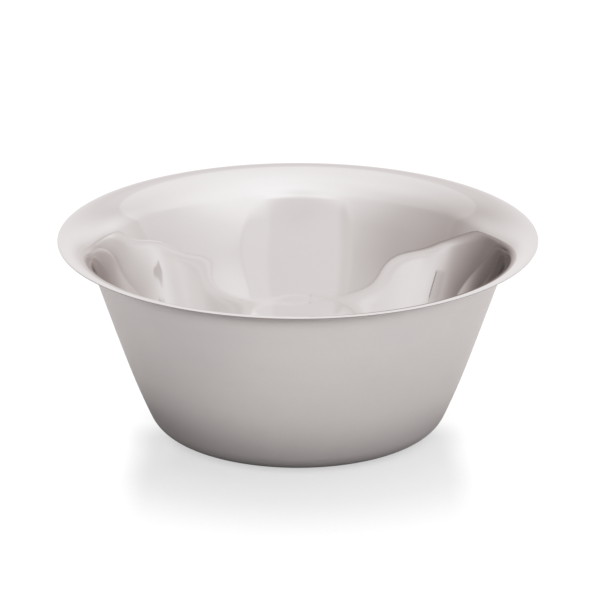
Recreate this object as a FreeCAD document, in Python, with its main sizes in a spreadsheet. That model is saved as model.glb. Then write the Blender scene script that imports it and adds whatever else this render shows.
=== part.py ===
import FreeCAD, Part
import math
import os

import Sketcher

# Mixing bowl for a bakery bench: one piece of stainless sheet, drawn and spun.
#
# Frame: origin at the centre of the plane the bowl stands on, +Z up through the
# mouth. The bowl is a body of revolution about Z, so X and Y are alike.
#
# From the axis outwards the sheet runs: base panel pushed up a little so that
# the bowl stands on a ring and can't rock, a soft step down to that ring, the
# ring itself, the base corner, a lower wall that bellies outwards, an upper
# wall that is almost a plain cone, a shoulder that starts to lean out, the
# flare, and a lip that ends almost level in a rounded, deburred edge. The
# thickness is the same everywhere.

# ---------------------------------------------------------------- dimensions
# All in millimetres, angles in degrees. Radii are those of the outer or
# underside face of the sheet; the inner face is its parallel.
# Columns: alias, value, what it is.
SIZES = [
    ("lip_radius", 140.0, "outermost radius of the lip edge"),
    ("overall_height", 115.0, "from the standing plane to the top of the lip"),
    ("sheet", 0.6, "sheet thickness"),
    ("base_radius", 71.5, "where the standing ring meets the base corner"),
    ("ring_inner_radius", 63.0, "where the step meets the standing ring"),
    ("push_up", 0.8, "height of the base panel above the standing plane"),
    ("step_upper_radius", 3.0, "underside radius of the step, upper bend"),
    ("step_lower_radius", 3.6, "underside radius of the step, lower bend"),
    ("corner_radius", 17.0, "outer radius of the base corner"),
    ("lower_wall_radius", 410.0, "outer radius of the lower wall, in section"),
    ("lower_wall_top", 41.0, "height where the lower wall meets the upper wall"),
    ("upper_wall_radius", 1850.0, "outer radius of the upper wall, in section"),
    ("upper_wall_top", 85.0, "height where the upper wall meets the shoulder"),
    ("shoulder_radius", 350.0, "underside radius of the shoulder, in section"),
    ("flare_radius", 22.0, "underside radius of the flare"),
    ("lip_angle", 2.8, "slope of the sheet at the lip edge, above level"),
]

doc = FreeCAD.newDocument("mixing_bowl")
dims = doc.addObject("Spreadsheet::Sheet", "dims")
dims.Label = "dims"
for column, heading in zip("ABC", ("name", "value", "what it is")):
    dims.set(column + "1", heading)
for row, (alias, value, meaning) in enumerate(SIZES, start=2):
    dims.set("A%d" % row, alias)
    dims.set("B%d" % row, str(value))
    dims.set("C%d" % row, meaning)
    dims.setAlias("B%d" % row, alias)
doc.recompute()


def size(alias):
    return float(dims.get(alias))


lip_radius = size("lip_radius")
overall_height = size("overall_height")
sheet = size("sheet")
base_radius = size("base_radius")
ring_inner_radius = size("ring_inner_radius")
push_up = size("push_up")
step_upper_radius = size("step_upper_radius")
step_lower_radius = size("step_lower_radius")
corner_radius = size("corner_radius")
lower_radius = size("lower_wall_radius")
upper_radius = size("upper_wall_radius")
shoulder_radius = size("shoulder_radius")
flare_radius = size("flare_radius")
lip_slope = math.radians(size("lip_angle"))

# ------------------------------------------------------- starting positions
# The section is a chain of tangent lines and arcs. The sketch's constraints
# fix it; these positions only start the solver on the right solution.
# Slopes are in radians above level, going outwards along the sheet.


def point(across, height):
    """Point of the section: distance from the axis, height."""
    return FreeCAD.Vector(across, height, 0)


def outward(slope, distance):
    """Move square to the sheet, towards its outer or underside face."""
    return point(distance * math.sin(slope), -distance * math.cos(slope))


edge_radius = sheet / 2
edge_centre = point(lip_radius - edge_radius, overall_height - edge_radius)


def wall_chain(slope_corner, slope_shoulder):
    """Wall centres and slopes, given the slopes at the outer ends of the corner
    and of the shoulder. The two wall arcs end at their stated heights.
    The last centre is that of the lip's edge."""
    corner = point(base_radius, corner_radius)
    lower = corner - outward(slope_corner, lower_radius - corner_radius)
    slope_lower = math.acos((lower.y - size("lower_wall_top")) / lower_radius)
    upper = lower - outward(slope_lower, upper_radius - lower_radius)
    slope_upper = math.acos((upper.y - size("upper_wall_top")) / upper_radius)
    shoulder = upper + outward(slope_upper, upper_radius + shoulder_radius)
    flare = shoulder - outward(slope_shoulder, shoulder_radius - flare_radius)
    edge = flare - outward(lip_slope, flare_radius + edge_radius)
    centres = (corner, lower, upper, shoulder, flare, edge)
    return centres, (slope_corner, slope_lower, slope_upper, slope_shoulder)


def close_wall():
    """Newton's method on the two free slopes, until the chain meets the lip."""
    guess = [math.radians(65.5), math.radians(69.0)]
    nudge = 1e-6
    tolerance = 1e-10
    for _ in range(60):
        edge = wall_chain(*guess)[0][-1]
        miss = edge - edge_centre
        if miss.Length < tolerance:
            break
        gradients = []
        for i in (0, 1):
            nudged = list(guess)
            nudged[i] += nudge
            gradients.append((wall_chain(*nudged)[0][-1] - edge) * (1 / nudge))
        by_corner, by_shoulder = gradients
        determinant = by_corner.x * by_shoulder.y - by_shoulder.x * by_corner.y
        guess[0] -= (miss.x * by_shoulder.y - miss.y * by_shoulder.x) / determinant
        guess[1] -= (miss.y * by_corner.x - miss.x * by_corner.y) / determinant
    return wall_chain(*guess)


wall_centres, wall_slopes = close_wall()
corner_centre, lower_centre, upper_centre, shoulder_centre, flare_centre, _ = wall_centres
slope_corner, slope_lower, slope_upper, slope_shoulder = wall_slopes

# The step goes down outwards, so its slope is negative.
step_reach = step_upper_radius + step_lower_radius
step_slope = -math.acos(1 - push_up / step_reach)
step_lower_centre = point(ring_inner_radius, step_lower_radius)
step_upper_centre = point(
    ring_inner_radius + step_reach * math.sin(step_slope), push_up - step_upper_radius
)

# ---------------------------------------------------------------- section
body = doc.addObject("PartDesign::Body", "bowl")
body.Label = "bowl"
xz_plane = next(f for f in body.Origin.OriginFeatures if f.Role == "XZ_Plane")

section = body.newObject("Sketcher::SketchObject", "bowl_section")
section.Label = "bowl_section"
section.AttachmentSupport = [(xz_plane, "")]
section.MapMode = "FlatFace"

START, END, CENTRE = 1, 2, 3
H_AXIS, V_AXIS = -1, -2
ORIGIN = (-1, START)

# Side of the sheet on which a bend has its centre. The sign also tells whether
# the inner face has the larger (+) or the smaller (-) radius.
BELOW, ABOVE = 1, -1

# Columns: centre, outer radius, side of the centre, lesser and greater slope.
STEP_UPPER = (step_upper_centre, step_upper_radius, BELOW, step_slope, 0)
STEP_LOWER = (step_lower_centre, step_lower_radius, ABOVE, step_slope, 0)
CORNER = (corner_centre, corner_radius, ABOVE, 0, slope_corner)
LOWER_WALL = (lower_centre, lower_radius, ABOVE, slope_corner, slope_lower)
UPPER_WALL = (upper_centre, upper_radius, ABOVE, slope_lower, slope_upper)
SHOULDER = (shoulder_centre, shoulder_radius, BELOW, slope_shoulder, slope_upper)
FLARE = (flare_centre, flare_radius, BELOW, lip_slope, slope_shoulder)


def add_line(start, end, construction=False):
    return section.addGeometry(Part.LineSegment(start, end), construction)


def add_arc(centre, radius, start, end):
    """Arc, anticlockwise from start to end, both in radians."""
    circle = Part.Circle(centre, FreeCAD.Vector(0, 0, 1), radius)
    return section.addGeometry(Part.ArcOfCircle(circle, start, end), False)


def add_bend(bend, depth=0.0):
    """A bend's arc on the outer face, or at this depth inwards from it.
    It starts at the lesser slope and ends at the greater."""
    centre, radius, side, least, most = bend
    quarter = side * math.pi / 2
    return add_arc(centre, radius + side * depth, quarter + least, quarter + most)


# underside and outer face, from the axis to the lip
under_panel = add_line(point(0, push_up), point(step_upper_centre.x, push_up))
under_upper = add_bend(STEP_UPPER)
under_lower = add_bend(STEP_LOWER)
under_ring = add_line(point(ring_inner_radius, 0), point(base_radius, 0))
out_corner = add_bend(CORNER)
out_lower = add_bend(LOWER_WALL)
out_upper = add_bend(UPPER_WALL)
out_shoulder = add_bend(SHOULDER)
out_flare = add_bend(FLARE)
# the rounded edge of the lip
lip_edge = add_arc(
    edge_centre, edge_radius, lip_slope - math.pi / 2, lip_slope + math.pi / 2
)
# upper and inner face, from the lip back to the axis
in_flare = add_bend(FLARE, sheet)
in_shoulder = add_bend(SHOULDER, sheet)
in_upper = add_bend(UPPER_WALL, sheet)
in_lower = add_bend(LOWER_WALL, sheet)
in_corner = add_bend(CORNER, sheet)
over_ring = add_line(point(base_radius, sheet), point(ring_inner_radius, sheet))
over_lower = add_bend(STEP_LOWER, sheet)
over_upper = add_bend(STEP_UPPER, sheet)
over_panel = add_line(
    point(step_upper_centre.x, push_up + sheet), point(0, push_up + sheet)
)
on_axis = add_line(point(0, push_up + sheet), point(0, push_up))
# spoke from the flare's centre to the lip edge's, to hold the lip's slope
spoke = add_line(flare_centre, edge_centre, construction=True)

RULES = [
    # outer chain
    ("PointOnObject", under_panel, START, V_AXIS),
    ("Horizontal", under_panel),
    ("Tangent", under_panel, END, under_upper, END),
    ("Tangent", under_upper, START, under_lower, START),
    ("Tangent", under_lower, END, under_ring, START),
    ("PointOnObject", under_ring, START, H_AXIS),
    ("Horizontal", under_ring),
    ("Tangent", under_ring, END, out_corner, START),
    ("Tangent", out_corner, END, out_lower, START),
    ("Tangent", out_lower, END, out_upper, START),
    ("Tangent", out_upper, END, out_shoulder, END),
    ("Tangent", out_shoulder, START, out_flare, END),
    ("Tangent", out_flare, START, lip_edge, START),
    # inner chain, every arc on the same centre as its partner outside
    ("Coincident", in_flare, CENTRE, out_flare, CENTRE),
    ("Tangent", lip_edge, END, in_flare, START),
    ("Coincident", in_shoulder, CENTRE, out_shoulder, CENTRE),
    ("Tangent", in_flare, END, in_shoulder, START),
    ("Coincident", in_upper, CENTRE, out_upper, CENTRE),
    ("Tangent", in_shoulder, END, in_upper, END),
    ("Coincident", in_lower, CENTRE, out_lower, CENTRE),
    ("Tangent", in_upper, START, in_lower, END),
    ("Coincident", in_corner, CENTRE, out_corner, CENTRE),
    ("Tangent", in_lower, START, in_corner, END),
    ("Horizontal", over_ring),
    ("Tangent", in_corner, START, over_ring, START),
    ("Coincident", over_lower, CENTRE, under_lower, CENTRE),
    ("Tangent", over_ring, END, over_lower, END),
    ("Coincident", over_upper, CENTRE, under_upper, CENTRE),
    ("Tangent", over_lower, START, over_upper, START),
    ("Horizontal", over_panel),
    ("Tangent", over_upper, END, over_panel, START),
    ("PointOnObject", over_panel, END, V_AXIS),
    ("Coincident", over_panel, END, on_axis, START),
    ("Coincident", on_axis, END, under_panel, START),
    # spoke
    ("Coincident", spoke, START, out_flare, CENTRE),
    ("Coincident", spoke, END, lip_edge, CENTRE),
]
for rule in RULES:
    section.addConstraint(Sketcher.Constraint(*rule))


def dimension(name, expression, value, *where):
    """Dimension driven by the expression; the value is where it starts."""
    index = section.addConstraint(Sketcher.Constraint(*where, value))
    section.renameConstraint(index, name)
    section.setExpression("Constraints." + name, expression)


# Columns: constraint name, alias that drives it, kind, what it measures.
DRIVEN = [
    ("push_up", "push_up", "DistanceY", *ORIGIN, under_panel, START),
    ("step_upper", "step_upper_radius", "Radius", under_upper),
    ("step_lower", "step_lower_radius", "Radius", under_lower),
    ("ring_inner", "ring_inner_radius", "DistanceX", *ORIGIN, under_ring, START),
    ("base_radius", "base_radius", "DistanceX", *ORIGIN, under_ring, END),
    ("corner_radius", "corner_radius", "Radius", out_corner),
    ("lower_radius", "lower_wall_radius", "Radius", out_lower),
    ("lower_top", "lower_wall_top", "DistanceY", *ORIGIN, out_lower, END),
    ("upper_radius", "upper_wall_radius", "Radius", out_upper),
    ("upper_top", "upper_wall_top", "DistanceY", *ORIGIN, out_upper, END),
    ("shoulder_radius", "shoulder_radius", "Radius", out_shoulder),
    ("flare_radius", "flare_radius", "Radius", out_flare),
]
for name, alias, *where in DRIVEN:
    dimension(name, "dims." + alias, size(alias), *where)

dimension("edge_radius", "dims.sheet / 2", edge_radius, "Radius", lip_edge)
for name, alias, kind, value in (
    ("lip_out", "lip_radius", "DistanceX", edge_centre.x),
    ("lip_up", "overall_height", "DistanceY", edge_centre.y),
):
    expression = "dims.%s - dims.sheet / 2" % alias
    dimension(name, expression, value, kind, *ORIGIN, lip_edge, CENTRE)
# the spoke stands square to the sheet at the lip
spoke_angle = math.pi / 2 + lip_slope
dimension("lip_slope", "(90 + dims.lip_angle) * 1 deg", spoke_angle, "Angle", spoke)
doc.recompute()

# ---------------------------------------------------------------- bowl
spin = body.newObject("PartDesign::Revolution", "bowl_spin")
spin.Label = "bowl_spin"
spin.Profile = section
spin.ReferenceAxis = (section, ["V_Axis"])
spin.Angle = 360.0
spin.Midplane = False
spin.Reversed = False
section.Visibility = False
doc.recompute()

# ---------------------------------------------------------------- soundness
for obj in doc.Objects:
    states = [state for state in obj.State if state in ("Invalid", "Error")]
    if states:
        raise RuntimeError("%s is %s" % (obj.Name, states))
if section.solve() != 0:
    raise RuntimeError("the section sketch does not solve")
if list(section.ConflictingConstraints) or list(section.RedundantConstraints):
    raise RuntimeError("the section sketch has conflicting or redundant rules")
if not section.FullyConstrained:
    raise RuntimeError("the section sketch is not fully constrained")
if body.Shape.isNull() or not body.Shape.isValid():
    raise RuntimeError("bowl has no valid shape")
if len(body.Shape.Solids) != 1:
    raise RuntimeError("bowl is not one solid")

# the plain bounding box of a trimmed torus is loose, so the tight one is used
box = body.Shape.optimalBoundingBox(False, False)
for have, want, what in (
    (box.XLength, 2 * lip_radius, "diameter along X"),
    (box.YLength, 2 * lip_radius, "diameter along Y"),
    (box.ZLength, overall_height, "height"),
    (box.ZMin, 0.0, "standing plane"),
):
    if abs(have - want) > 0.01:
        raise RuntimeError("%s is %.4f, not %.4f" % (what, have, want))

# ---------------------------------------------------------------- files
os.makedirs("parts", exist_ok=True)
body.Shape.exportStep("parts/" + body.Label + ".step")
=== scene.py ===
"""Stainless steel mixing bowl: one sheet of steel, polished inside and satin
brushed outside, standing on a pale floor in soft studio light. Metres, +Z up,
centred on the Z axis with its base at z = 0; the camera looks from -Y."""
import math

import bpy
import numpy as np
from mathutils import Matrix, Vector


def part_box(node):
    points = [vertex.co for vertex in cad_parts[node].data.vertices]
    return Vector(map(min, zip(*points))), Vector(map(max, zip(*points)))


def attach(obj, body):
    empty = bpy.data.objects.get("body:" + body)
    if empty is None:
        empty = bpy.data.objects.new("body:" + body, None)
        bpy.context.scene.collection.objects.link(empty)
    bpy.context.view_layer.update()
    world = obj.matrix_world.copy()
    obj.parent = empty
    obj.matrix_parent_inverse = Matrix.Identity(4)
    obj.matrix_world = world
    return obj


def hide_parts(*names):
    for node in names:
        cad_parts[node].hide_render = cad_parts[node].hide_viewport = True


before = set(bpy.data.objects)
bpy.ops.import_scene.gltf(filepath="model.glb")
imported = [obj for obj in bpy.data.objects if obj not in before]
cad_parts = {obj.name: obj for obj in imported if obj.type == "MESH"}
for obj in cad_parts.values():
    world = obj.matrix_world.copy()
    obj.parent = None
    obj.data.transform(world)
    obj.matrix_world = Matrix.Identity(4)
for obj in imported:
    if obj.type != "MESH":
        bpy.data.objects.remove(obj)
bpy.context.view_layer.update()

low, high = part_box("bowl")
MM = 0.001
scene = bpy.context.scene

# ------------------------------------------------------------------ section
# The outer face is a chain of tangent lines and arcs, in millimetres.
LIP_RADIUS = round(0.5 * (high.x - low.x) / MM, 1)
HEIGHT = round(high.z / MM, 1)
SHEET = 0.6
HALF = SHEET / 2
# the flat foot ring, and the step up to the raised middle of the base
BASE_RADIUS, RING_RADIUS, PUSH_UP = 71.5, 63.0, 0.8
STEP_UPPER_ARC, STEP_LOWER_ARC = 3.0, 3.6
# arc radii up the wall, and the heights where the two wall arcs end
CORNER_ARC = 17.0
LOWER_ARC, LOWER_TOP = 410.0, 41.0
UPPER_ARC, UPPER_TOP = 1850.0, 85.0
SHOULDER_ARC, FLARE_ARC = 350.0, 22.0
LIP_SLOPE = math.radians(2.8)
LIP_END = (LIP_RADIUS - HALF, HEIGHT - HALF)
FIRST_SLOPES = (65.5, 69.0)  # corner and shoulder, degrees, where the solver starts

SEGMENTS = 360
EDGE_STEPS = 8


def offset(point, slope, distance):
    """Square to the slope: leftwards of the way up the wall if positive."""
    return (point[0] - distance * math.sin(slope), point[1] + distance * math.cos(slope))


def chain(corner_slope, shoulder_slope):
    """Lip end, arc centres and the slopes where the arcs meet."""
    corner = (BASE_RADIUS, CORNER_ARC)
    corner_end = offset(corner, corner_slope, -CORNER_ARC)
    lower = offset(corner_end, corner_slope, LOWER_ARC)
    lower_slope = math.acos((lower[1] - LOWER_TOP) / LOWER_ARC)
    lower_end = offset(lower, lower_slope, -LOWER_ARC)
    upper = offset(lower_end, lower_slope, UPPER_ARC)
    upper_slope = math.acos((upper[1] - UPPER_TOP) / UPPER_ARC)
    upper_end = offset(upper, upper_slope, -UPPER_ARC)
    shoulder = offset(upper_end, upper_slope, -SHOULDER_ARC)
    shoulder_end = offset(shoulder, shoulder_slope, SHOULDER_ARC)
    flare = offset(shoulder_end, shoulder_slope, -FLARE_ARC)
    end = offset(flare, LIP_SLOPE, FLARE_ARC + HALF)
    centres = (corner, lower, upper, shoulder, flare)
    return end, centres, (corner_slope, lower_slope, upper_slope, shoulder_slope)


def solve_chain():
    """Newton's method on the two free slopes, until the chain meets the lip."""
    nudge = 1e-6
    slopes = [math.radians(angle) for angle in FIRST_SLOPES]
    for _ in range(60):
        end = chain(*slopes)[0]
        miss = (end[0] - LIP_END[0], end[1] - LIP_END[1])
        if math.hypot(*miss) < 1e-11:
            break
        grads = []
        for i in (0, 1):
            nudged = list(slopes)
            nudged[i] += nudge
            moved = chain(*nudged)[0]
            grads.append(((moved[0] - end[0]) / nudge, (moved[1] - end[1]) / nudge))
        det = grads[0][0] * grads[1][1] - grads[1][0] * grads[0][1]
        slopes[0] -= (miss[0] * grads[1][1] - miss[1] * grads[1][0]) / det
        slopes[1] -= (miss[1] * grads[0][0] - miss[0] * grads[0][1]) / det
    return chain(*slopes)[1:]


def section_rows():
    """Middle of the sheet from the axis to the lip: radius, height, and the
    normal towards the inside. The last row is the centre of the lip's edge."""
    centres, slopes = solve_chain()
    corner, lower, upper, shoulder, flare = centres
    corner_slope, lower_slope, upper_slope, shoulder_slope = slopes
    both_arcs = STEP_UPPER_ARC + STEP_LOWER_ARC
    step = math.acos(1 - PUSH_UP / both_arcs)
    step_lower = (RING_RADIUS, STEP_LOWER_ARC)
    step_upper = (RING_RADIUS - both_arcs * math.sin(step), PUSH_UP - STEP_UPPER_ARC)
    down, up = -math.pi / 2, math.pi / 2
    rows = []

    def flat(start, end, z, count):
        for radius in np.linspace(start, end, count, endpoint=False):
            rows.append((radius, z, 0.0, 1.0))

    def bend(centre, radius, start, end, count, side):
        # side is -1 where the centre is on the sheet's inner side, 1 on its outer
        for angle in np.linspace(start, end, count, endpoint=False):
            cos, sin = math.cos(angle), math.sin(angle)
            rows.append((centre[0] + radius * cos, centre[1] + radius * sin,
                         side * cos, side * sin))

    flat(0.0, step_upper[0], PUSH_UP + HALF, 14)
    bend(step_upper, STEP_UPPER_ARC + HALF, up, up - step, 4, 1)
    bend(step_lower, STEP_LOWER_ARC - HALF, down - step, down, 4, -1)
    flat(RING_RADIUS, BASE_RADIUS, HALF, 4)
    bend(corner, CORNER_ARC - HALF, down, down + corner_slope, 18, -1)
    bend(lower, LOWER_ARC - HALF, down + corner_slope, down + lower_slope, 16, -1)
    bend(upper, UPPER_ARC - HALF, down + lower_slope, down + upper_slope, 24, -1)
    bend(shoulder, SHOULDER_ARC + HALF, up + upper_slope, up + shoulder_slope, 9, 1)
    bend(flare, FLARE_ARC + HALF, up + shoulder_slope, up + LIP_SLOPE, 26, 1)
    rows.append((*LIP_END, -math.sin(LIP_SLOPE), math.cos(LIP_SLOPE)))
    return np.array(rows)


# -------------------------------------------------------------------- waves
# Soft waves left by hand spinning, in hundredths of a millimetre, positive
# towards the inside. Rows run every 9 degrees round the far half of the bowl
# from 72 left of centre to 72 right, columns every 12 mm up from 28 mm.
WAVES = (
    (0, 0, 0, 0, 0, 0, 0),
    (0, 0, 0, 0, 1, -1, -2),
    (0, 0, 0, 1, 3, 0, -4),
    (0, 0, 0, 5, 5, -1, -2),
    (-2, -3, -1, 4, 16, 4, 2),
    (-1, 2, 5, -18, 7, 16, 13),
    (-7, -3, -8, -8, 25, 11, 10),
    (-32, -16, -13, 3, 28, -13, -5),
    (-25, -7, 6, 2, 8, -4, -5),
    (-11, -11, 0, 1, 12, -7, -6),
    (-9, -14, -1, -1, 11, 2, 4),
    (-4, -7, -8, -6, 3, 9, 11),
    (-1, -3, -10, -5, 13, 9, 4),
    (0, 0, -3, -1, 7, 1, 0),
    (0, 0, 0, 0, -1, -4, 3),
    (0, 0, 0, 0, -1, 0, 3),
    (0, 0, 0, 0, 0, 0, 1),
)
# The left and right sides: degrees from the far centre, then hundredths of a
# millimetre at each of the heights.
SIDE_HEIGHTS = (66, 78, 90, 101)
SIDE_WAVES = (
    (-50, (-8, 2, 23, 6)),
    (-60, (25, 23, 10, -11)),
    (-70, (6, 4, 1, 14)),
    (-80, (15, 9, 18, 32)),
    (-90, (1, -4, 1, -14)),
    (50, (2, 10, 3, 1)),
    (60, (2, 5, 8, 2)),
    (70, (7, 15, -3, -8)),
    (80, (11, 26, 2, 4)),
    (90, (0, 1, -17, -7)),
)
# Half widths of all the waves above, in degrees and mm
WAVE_SPREAD = (8.0, 10.0)
# The near half: depth in mm, degrees from the far centre, mm up, half width
# in degrees, half width in mm
NEAR_WAVES = (
    (0.06, 96, 62, 9, 13), (-0.05, 112, 84, 8, 11), (0.07, 131, 48, 10, 14),
    (-0.06, 149, 74, 9, 12), (0.05, 168, 58, 9, 13), (-0.07, -174, 88, 10, 11),
    (0.06, -155, 66, 9, 13), (-0.05, -137, 46, 9, 12), (0.06, -118, 80, 9, 12),
    (-0.05, -98, 60, 8, 13),
)


def bump(turn, z, depth, centre, up, wide, tall):
    away = (turn - centre + 180.0) % 360.0 - 180.0
    return depth * np.exp(-0.5 * ((away / wide) ** 2 + ((z - up) / tall) ** 2))


def ease(amount):
    amount = min(max(amount, 0.0), 1.0)
    return amount * amount * (3 - 2 * amount)


def wave(phi, z):
    """How far the hand-spun sheet stands off its true shape, in millimetres,
    along the inner normal. Both faces move together, and the lip and the base
    stay true."""
    turn = 90.0 - np.degrees(phi)  # 0 is the far side, positive to the right
    total = np.zeros_like(turn)
    for i, row in enumerate(WAVES):
        for j, depth in enumerate(row):
            if depth:
                total += bump(turn, z, depth / 100.0, -72 + 9 * i, 28 + 12 * j, *WAVE_SPREAD)
    for centre, row in SIDE_WAVES:
        for up, depth in zip(SIDE_HEIGHTS, row):
            total += bump(turn, z, depth / 100.0, centre, up, *WAVE_SPREAD)
    for near_wave in NEAR_WAVES:
        total += bump(turn, z, *near_wave)
    return total * ease((z - 4.0) / 14.0) * ease((HEIGHT - 2.0 - z) / 9.0)


# --------------------------------------------------------------------- bowl
POLISHED, SATIN, EDGE = 0, 1, 2  # material slots


def build_bowl():
    rows = section_rows()
    phi = np.arange(SEGMENTS) * (2 * math.pi / SEGMENTS)
    cos, sin = np.cos(phi), np.sin(phi)
    verts = [(0.0, 0.0, (rows[0][1] + side * HALF) * MM) for side in (1, -1)]
    faces, slots = [], []

    def add_ring(radius, z):
        """Radius and height in mm, each one number or one per segment."""
        start = len(verts)
        verts.extend(zip(radius * cos * MM, radius * sin * MM,
                         np.broadcast_to(z * MM, cos.shape)))
        return start

    def wall_ring(radius, z, normal_r, normal_z, side):
        shift = side * HALF + wave(phi, z)
        return add_ring(radius + normal_r * shift, z + normal_z * shift)

    def add_face(face, slot, flip):
        faces.append(face[::-1] if flip else face)
        slots.append(slot)

    def skin(first, second, slot, flip):
        for i in range(SEGMENTS):
            j = (i + 1) % SEGMENTS
            add_face((first + i, first + j, second + j, second + i), slot, flip)

    def cap(centre, ring, slot, flip):
        for i in range(SEGMENTS):
            add_face((centre, ring + i, ring + (i + 1) % SEGMENTS), slot, flip)

    inside, outside = [], []
    for row in rows[1:]:
        inside.append(wall_ring(*row, 1))
        outside.append(wall_ring(*row, -1))
    cap(0, inside[0], POLISHED, False)
    cap(1, outside[0], SATIN, True)
    for k in range(len(inside) - 1):
        skin(inside[k], inside[k + 1], POLISHED, True)
        skin(outside[k], outside[k + 1], SATIN, False)

    # rounded, deburred edge of the lip
    radius, z, normal_r, normal_z = rows[-1]
    out_r, out_z = normal_z, -normal_r  # outwards along the sheet
    edge = [inside[-1]]
    for k in range(1, EDGE_STEPS):
        angle = math.pi * k / EDGE_STEPS
        edge.append(add_ring(
            radius + HALF * (normal_r * math.cos(angle) + out_r * math.sin(angle)),
            z + HALF * (normal_z * math.cos(angle) + out_z * math.sin(angle))))
    edge.append(outside[-1])
    for first, second in zip(edge, edge[1:]):
        skin(first, second, EDGE, True)

    mesh = bpy.data.meshes.new("bowl_steel")
    mesh.from_pydata([tuple(map(float, vert)) for vert in verts], [], faces)
    mesh.polygons.foreach_set("material_index", slots)
    mesh.polygons.foreach_set("use_smooth", [True] * len(faces))
    mesh.validate()
    mesh.update()
    piece = bpy.data.objects.new("bowl_steel", mesh)
    scene.collection.objects.link(piece)
    return piece


# -------------------------------------------------------------------- nodes
class Value:
    """A node's output. Arithmetic on it adds math nodes."""

    def __init__(self, graph, socket):
        self.graph = graph
        self.socket = socket

    def math(self, operation, *others):
        return self.graph.math(operation, self, *others)

    def __add__(self, other):
        return self.math("ADD", other)

    def __radd__(self, other):
        return self.graph.math("ADD", other, self)

    def __mul__(self, other):
        return self.math("MULTIPLY", other)

    def __neg__(self):
        return self * -1.0

    def __sub__(self, other):
        return self + -other

    def __truediv__(self, other):
        return self.math("DIVIDE", other)

    def __pow__(self, other):
        return self.math("POWER", other)

    def __rpow__(self, other):
        return self.graph.math("POWER", other, self)

    def __abs__(self):
        return self.math("ABSOLUTE")

    def exp(self):
        return self.math("EXPONENT")

    def at_least(self, other):
        return self.math("MAXIMUM", other)

    def at_most(self, other):
        return self.math("MINIMUM", other)

    def above(self, limit):
        return self.math("GREATER_THAN", limit)

    def remap(self, kind, start, end, before, after):
        inputs = {"Value": self, "From Min": start, "From Max": end,
                  "To Min": before, "To Max": after}
        return self.graph.value("ShaderNodeMapRange", inputs, interpolation_type=kind)

    def rise(self, start, end, before=0.0, after=1.0):
        """The value before up to start, after beyond end, soft in between."""
        return self.remap("SMOOTHSTEP", start, end, before, after)

    def fall(self, start, end):
        return self.rise(start, end, 1.0, 0.0)

    def blend(self, off, on):
        """off where this is 0, on where it is 1."""
        return self.remap("LINEAR", 0.0, 1.0, off, on)

    def dim(self, mask, amount):
        """Dimmer by amount where the mask is 1; brighter if it is negative."""
        return self * (mask * -amount + 1.0)

    def from_line(self, centre, width):
        """Squared distance from centre, in widths."""
        return ((self - centre) * (1 / width)) ** 2.0

    def tint(self, colour):
        return self.graph.value("ShaderNodeVectorMath", {0: colour, "Scale": self},
                                operation="SCALE")

    def xyz(self):
        split = self.graph.node("ShaderNodeSeparateXYZ", {0: self})
        return [Value(self.graph, socket) for socket in split.outputs]


def hypot(x, y):
    return (x * x + y * y).math("SQRT")


class Graph:
    def __init__(self, owner):
        owner.use_nodes = True
        self.tree = owner.node_tree
        self.tree.nodes.clear()

    def node(self, kind, inputs=None, **props):
        made = self.tree.nodes.new(kind)
        for name, prop in props.items():
            setattr(made, name, prop)
        for key, value in (inputs or {}).items():
            if isinstance(value, Value):
                self.tree.links.new(value.socket, made.inputs[key])
            else:
                made.inputs[key].default_value = value
        return made

    def value(self, kind, inputs=None, output=0, **props):
        return Value(self, self.node(kind, inputs, **props).outputs[output])

    def math(self, operation, *values):
        return self.value("ShaderNodeMath", dict(enumerate(values)), operation=operation)

    def join(self, x, y, z):
        return self.value("ShaderNodeCombineXYZ", {0: x, 1: y, 2: z})

    def geometry(self, output):
        return self.value("ShaderNodeNewGeometry", output=output)

    def noise(self, vector, scale, detail, roughness):
        inputs = {"Vector": vector, "Scale": scale, "Detail": detail, "Roughness": roughness}
        return self.value("ShaderNodeTexNoise", inputs, noise_dimensions="3D")

    def mix(self, share, off, on):
        return self.value("ShaderNodeMixShader", {0: share, 1: off, 2: on})


# -------------------------------------------------------------------- steel
STEEL = (0.733, 0.709, 0.699)


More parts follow.
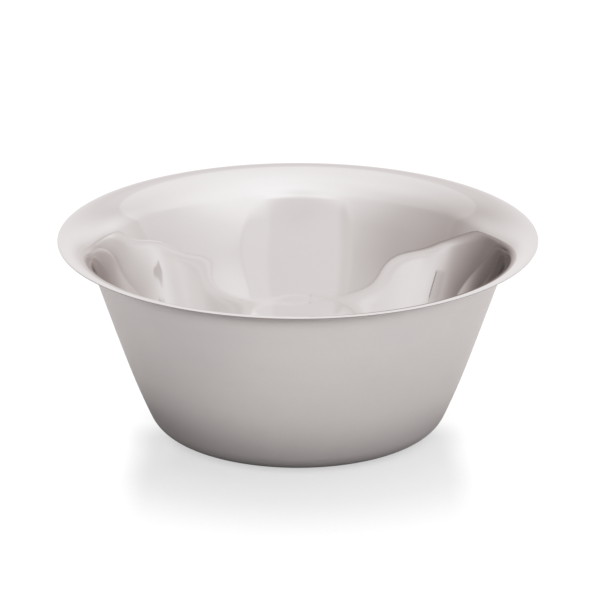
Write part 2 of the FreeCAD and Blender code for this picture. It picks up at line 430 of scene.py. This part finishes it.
def steel(name, rough, rough_var, grain, grain_rough, relief, aniso, smudge,
          grazing=1.0, under=1.0):
    """rough_var and grain_rough: how much the patches and the lines change the
    roughness. grain: lines per metre. relief: line depth in metres. smudge:
    unevenness of tone. grazing: brightness at a grazing angle. under: painted
    shade, the share of the colour left on faces that look down."""
    material = bpy.data.materials.new(name)
    graph = Graph(material)
    # coordinates almost constant round the bowl and quick up the sheet
    pos = graph.geometry("Position")
    x, y, z = pos.xyz()
    radius = hypot(x, y)
    safe = radius.at_least(1e-5)
    round_x, round_y, along = x / safe, y / safe, radius + z

    def rings(wander, density, detail, roughness):
        vector = graph.join(round_x * wander, round_y * wander, along * density)
        return graph.noise(vector, scale=1.0, detail=detail, roughness=roughness)

    # spinning and polishing lines: fine rings, each broken into long arcs
    fine = rings(wander=1.6, density=grain, detail=3.0, roughness=0.6)
    broad = rings(wander=0.5, density=grain * 0.13, detail=2.0, roughness=0.5)
    lines = (fine - 0.5) * 1.0 + (broad - 0.5) * 0.6
    # handling marks and uneven polish
    cloud = graph.noise(pos, scale=22.0, detail=3.0, roughness=0.55)
    spot = graph.noise(pos, scale=90.0, detail=4.0, roughness=0.6)
    fleck = graph.noise(pos, scale=430.0, detail=3.0, roughness=0.6)
    patch = (cloud - 0.5) * 1.0 + (spot - 0.5) * 0.35 + (fleck - 0.5) * 0.6

    tone = 1.0 + (patch * smudge + lines * (smudge * 0.6))
    # painted shade: faces that look down have their colour darkened
    if under < 1.0:
        facing = graph.geometry("Normal").xyz()[2]
        tone = tone * facing.rise(-0.3, 0.3, before=under, after=1.0)
    shader = graph.value("ShaderNodeBsdfPrincipled", {
        "Base Color": tone.tint(STEEL),
        "Roughness": (rough + (lines * grain_rough + patch * rough_var)).at_least(0.02),
        "Metallic": 1.0,
        "Specular Tint": (grazing, grazing * 0.985, grazing * 0.978, 1.0),
        "Anisotropic": aniso,
        "Tangent": graph.value("ShaderNodeTangent", direction_type="RADIAL", axis="Z"),
        "Normal": graph.value("ShaderNodeBump", {
            "Strength": 1.0, "Distance": relief, "Height": lines}),
    })
    graph.node("ShaderNodeOutputMaterial", {"Surface": shader})
    return material


# --------------------------------------------------------------- the studio
WHITE_OUT = 1.05  # what the camera sees of the floor and the backdrop

# Soft patches of the studio: brightness, azimuth, elevation, sharpness.
# Azimuth 0 faces the camera, positive to the camera's right, in degrees. The
# first set is added to the tent; the others scale what the steel shows after
# two or more reflections, which comes from nearer the bowl.
PATCHES = (
    (-0.528, -79.5, 20.7, 8.67), (-0.113, -109.7, 75.2, 12.51),
    (-0.544, 96.8, 41.6, 2.31), (0.087, -45.4, 23.0, 31.76),
    (-0.299, -129.6, 39.0, 6.93), (1.000, -1.8, 20.5, 16.32),
    (-0.030, -2.9, 62.1, 21.76), (-0.390, 5.7, -19.5, 3.73),
    (0.376, -77.3, 16.9, 13.09), (0.629, 77.2, 2.4, 1.81),
    (0.240, -176.2, -4.1, 40.00), (-0.706, -2.3, 26.9, 28.07),
    (0.137, 39.5, 15.9, 22.54), (-0.125, -42.4, 55.1, 9.92),
)
DEEPER = (
    (-0.473, -24.7, 44.1, 37.02), (0.894, 12.2, 43.7, 17.78),
    (-0.490, 30.8, -15.2, 2.28), (0.505, 88.0, 21.7, 37.92),
    (-0.427, -57.1, 74.6, 25.78), (-0.710, -63.4, 20.4, 5.37),
    (-0.871, -125.1, 1.5, 11.78), (0.405, 22.5, 87.5, 1.06),
    (0.271, -37.8, 43.9, 80.00), (-0.684, 14.9, 53.7, 24.70),
    (-0.267, 3.4, 43.7, 79.59), (0.398, -23.3, 41.4, 79.84),
    (-0.791, 81.6, 3.9, 41.07), (0.174, -64.1, 20.2, 22.75),
    (-0.310, 17.8, 37.1, 42.55), (0.282, -49.4, 56.1, 11.10),
)
THIRD = ((-0.308, -51.6, 20.0, 3.23),)  # from the third reflection on

# The opening in front, as tangents of the angle across and up
OPENING_CENTRE, OPENING_HALF, OPENING_TOP = 0.020, 0.687, 0.440
OPENING_CORNER, OPENING_SOFT = 0.130, 0.025


def unit(azimuth, elevation):
    az, el = math.radians(azimuth), math.radians(elevation)
    return (math.sin(az) * math.cos(el), -math.cos(az) * math.cos(el), math.sin(el))


def lobes(total, direction, patches):
    for brightness, azimuth, elevation, sharpness in patches:
        dot = direction.graph.value(
            "ShaderNodeVectorMath", {0: direction, 1: unit(azimuth, elevation)},
            output="Value", operation="DOT_PRODUCT")
        total = total + ((dot - 1.0) * sharpness).exp() * brightness
    return total


def opening(glow, x, front, z):
    """The opening, with rounded corners, a thin frame and a strip down each side."""
    safe = front.at_least(0.001)
    across, up = x / safe, z / safe
    past_side = abs(across - OPENING_CENTRE) + (OPENING_CORNER - OPENING_HALF)
    past_top = up + (OPENING_CORNER - OPENING_TOP)
    dist = hypot(past_side.at_least(0.0), past_top.at_least(0.0))
    mask = dist.fall(OPENING_CORNER - OPENING_SOFT, OPENING_CORNER + OPENING_SOFT)
    through = across * -0.013 + 0.898 + (up - 0.3) * 0.060
    through = through + across.rise(0.29, 0.38, before=0.0, after=0.05)
    through = through + across.rise(-0.56, -0.44, before=-0.094, after=0.0)
    through = through + (-across.from_line(centre=0.69, width=0.03)).exp() * -0.035
    return (mask * front.above(0.0)).blend(glow, through)


def tent(direction, az, el):
    """Brightness of the tent by direction."""
    x, back, z = direction.xyz()
    side = abs(az)
    glow = z * 1.307 + 0.498 + z * z * -0.377
    glow = lobes(glow, direction, PATCHES)
    # the overhead panel's back edge, dimmer beyond it
    beyond = (z + back * -1.109).fall(-0.035, 0.035)
    glow = glow.dim(beyond * back.rise(0.0, 0.25), 0.095)
    # low bright strips at the back
    glow = glow.dim(el.fall(8.2, 36.1) * side.rise(92.3, 132.3), -0.600)
    # the tent's walls are a little dimmer low down in the front half
    glow = glow.dim(el.fall(15.7, 23.2) * side.fall(75, 105), 0.082)
    glow = opening(glow, x, -back, z)
    # a thin dim level line near the middle of the opening
    line = az.from_line(centre=-2.73, width=13.99) + el.from_line(centre=-(-21.82), width=0.80)
    return glow.dim((-line).exp(), 0.039).at_least(0.02)


def deep_scale(direction, az, el, glossy):
    """Scale of what shows after two or more reflections, with the stands in front."""
    scale = lobes(0.906, direction, DEEPER).at_least(0.1)
    third = lobes(1.043, direction, THIRD).at_least(0.1)
    scale = scale * glossy.above(2.5).blend(1.0, third)
    # a stand to the right, between a curved bottom and a peaked top
    slant = el + az * 0.31
    bottom = (az - 18.0) ** 2.0 * 0.0085 + az.rise(13.5, 16.0, before=34.0, after=34.3)
    top = (az * -0.245 + 40.14).at_most(az * 0.7 + 29.79)
    mask = (slant - bottom).rise(-0.05, 0.15) * (slant - top).fall(-0.2, 0.05)
    scale = scale.dim(mask * (az.rise(7.2, 8.2) * az.fall(24.0, 25.5)), 0.32)
    # a stand to the left, and the thin dark line at its right edge
    slant = el + az * -0.31
    mask = az.rise(-27, -19) * az.fall(-9.2, -8.0)
    scale = scale.dim(mask * slant.fall(35.2, 35.7), 0.18)
    mask = az.rise(-9.6, -9.0) * az.fall(-8.4, -7.8)
    scale = scale.dim(mask * slant.fall(34.95, 35.15), 0.85)
    # brighter again from the fifth reflection on
    many = (glossy - 4.5).at_least(0.0).at_most(1.5)
    return scale * 1.3 ** many


def studio_colour(glow, glossy):
    """Dim parts of the studio are warmer than bright ones, and the steel's own
    warmth doesn't build up with each reflection."""
    shown = (glow * 0.7137 ** glossy).at_most(1.0).at_least(0.12)
    red = shown * -0.4425 + 1.254 + shown * shown * 0.205
    blue = shown * 0.063 + 0.950
    count = glossy.at_most(4.0) + (glossy - 4.0).at_least(0.0).at_most(5.0) * 0.8
    return glow.tint(glow.graph.join(red * 0.9685 ** count, 1.0, blue * 1.0125 ** count))


def studio():
    """A white tent: a big soft panel overhead that stops short at the back,
    dimmer sides, and a rounded opening in front that the camera looks through."""
    world = bpy.data.worlds.new("studio")
    graph = Graph(world)
    scene.world = world
    path = graph.node("ShaderNodeLightPath")
    glossy = Value(graph, path.outputs["Glossy Depth"])
    generated = graph.value("ShaderNodeTexCoord", output="Generated")
    direction = graph.value("ShaderNodeVectorMath", {0: generated}, operation="NORMALIZE")
    x, back, z = direction.xyz()
    az = x.math("ARCTAN2", -back) * (180 / math.pi)
    el = z.math("ARCSINE") * (180 / math.pi)
    glow = tent(direction, az, el)
    scale = deep_scale(direction, az, el, glossy)
    glow = glow * glossy.above(1.5).blend(1.0, scale)
    lit = graph.value("ShaderNodeBackground", {
        "Color": studio_colour(glow, glossy), "Strength": 1.0})
    seen = graph.value("ShaderNodeBackground", {
        "Color": (1, 1, 1, 1), "Strength": WHITE_OUT})
    surface = graph.mix(Value(graph, path.outputs["Is Camera Ray"]), lit, seen)
    graph.node("ShaderNodeOutputWorld", {"Surface": surface})


# -------------------------------------------------------------------- floor
FLOOR_HALF, FLOOR_Z = 14.0, -0.0001


def kept_shadow(x, y):
    """Where the camera sees the floor's soft shadow: in front and round the base."""
    radius = hypot(x, y)
    wide = abs(x) + y.rise(-0.10, -0.04, before=-0.004, after=0.0)
    front = radius.rise(0.122, 0.219, before=0.70, after=0.0) * wide.fall(0.080, 0.106)
    left = x.rise(-0.098, -0.088) * x.fall(-0.078, -0.066)
    front = front.dim(left * y.rise(-0.085, -0.045), 0.12)
    front = front * radius.rise(0.072, 0.10, before=0.69, after=1.0)
    front = front * y.fall(-0.03, 0.02)
    return front.at_least(radius.rise(0.075, 0.11, before=0.22, after=0.0))


def painted_floor_shade(x, y):
    """The floor as the steel sees it, with painted shadow in its colour: darker close round
    the base, in a faint ring further out, and on the left.
    """
    radius = hypot((x + 0.009) * 0.93, y * 1.03)
    shade = radius.rise(0.072, 0.128, before=0.41, after=1.0)
    side = (x.rise(-0.16, -0.02, before=-0.22, after=0.0)
            + x.rise(0.05, 0.18, before=0.0, after=-0.05))
    painted_shadow_band = (-radius.from_line(centre=0.128, width=0.015)).exp()
    painted_shadow_band = painted_shadow_band * x.rise(-0.12, -0.08, before=-0.07, after=-0.035)
    return shade * (side + 1.15) * (painted_shadow_band + 1.0)


def pale_floor():
    material = bpy.data.materials.new("pale_floor")
    graph = Graph(material)
    x, y, _ = graph.geometry("Position").xyz()
    bright = graph.value("ShaderNodeBsdfDiffuse", {"Color": (0.907, 0.93, 0.926, 1)})
    white = graph.value("ShaderNodeEmission", {"Strength": WHITE_OUT})
    seen = graph.mix(kept_shadow(x, y), white, bright)
    # painted shadow: for all but camera rays the floor's colour is darkened round the base and
    # on the left
    colour = (painted_floor_shade(x, y) * 0.737).tint((1.02, 1.0, 0.992))
    painted_shade_floor = graph.value("ShaderNodeBsdfDiffuse", {"Color": colour})
    camera_ray = graph.value("ShaderNodeLightPath", output="Is Camera Ray")
    graph.node("ShaderNodeOutputMaterial", {"Surface": graph.mix(camera_ray, painted_shade_floor, seen)})
    return material


def build_floor():
    """A pale sweep. The camera sees it burnt out to white with the soft shadow
    kept; the steel sees it as it is lit, with painted shadow added to its
    colour round the base and on the left."""
    mesh = bpy.data.meshes.new("floor")
    corners = ((-1, -1), (1, -1), (1, 1), (-1, 1))
    mesh.from_pydata([(x * FLOOR_HALF, y * FLOOR_HALF, FLOOR_Z) for x, y in corners],
                     [], [(0, 1, 2, 3)])
    floor = bpy.data.objects.new("floor", mesh)
    scene.collection.objects.link(floor)
    mesh.materials.append(pale_floor())


def add_camera():
    lens = bpy.data.cameras.new("camera")
    lens.lens = 323.3
    lens.sensor_width = 36.0
    lens.clip_start = 0.05
    lens.clip_end = 60.0
    camera = bpy.data.objects.new("camera", lens)
    camera.location = (0.0, -2.9712, 1.1296)
    camera.rotation_euler = (math.radians(90 - 19.5208), 0.0, math.radians(-0.0243))
    scene.collection.objects.link(camera)
    scene.camera = camera


# -------------------------------------------------------------------- build
bowl = build_bowl()
for finish in (
    steel("steel_polished", rough=0.035, rough_var=0.015, grain=900.0, grain_rough=0.012,
          relief=0.0000004, aniso=0.2, smudge=0.015, grazing=0.92),
    steel("steel_satin", rough=0.36, rough_var=0.05, grain=1400.0, grain_rough=0.16,
          relief=0.000008, aniso=0.5, smudge=0.06),
    # painted shade: the underside of the cut edge has its colour darkened
    steel("steel_edge", rough=0.12, rough_var=0.03, grain=2500.0, grain_rough=0.05,
          relief=0.000001, aniso=0.3, smudge=0.02, under=0.2),
):
    bowl.data.materials.append(finish)
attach(bowl, "root")
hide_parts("bowl")
build_floor()
studio()
add_camera()

scene.view_settings.view_transform = "Standard"
if hasattr(scene, "cycles"):  # absent where the Cycles add-on is off
    scene.cycles.max_bounces = 40
    scene.cycles.glossy_bounces = 40
    scene.cycles.diffuse_bounces = 4
    scene.cycles.min_light_bounces = 24  # the deep reflections stay free of grain
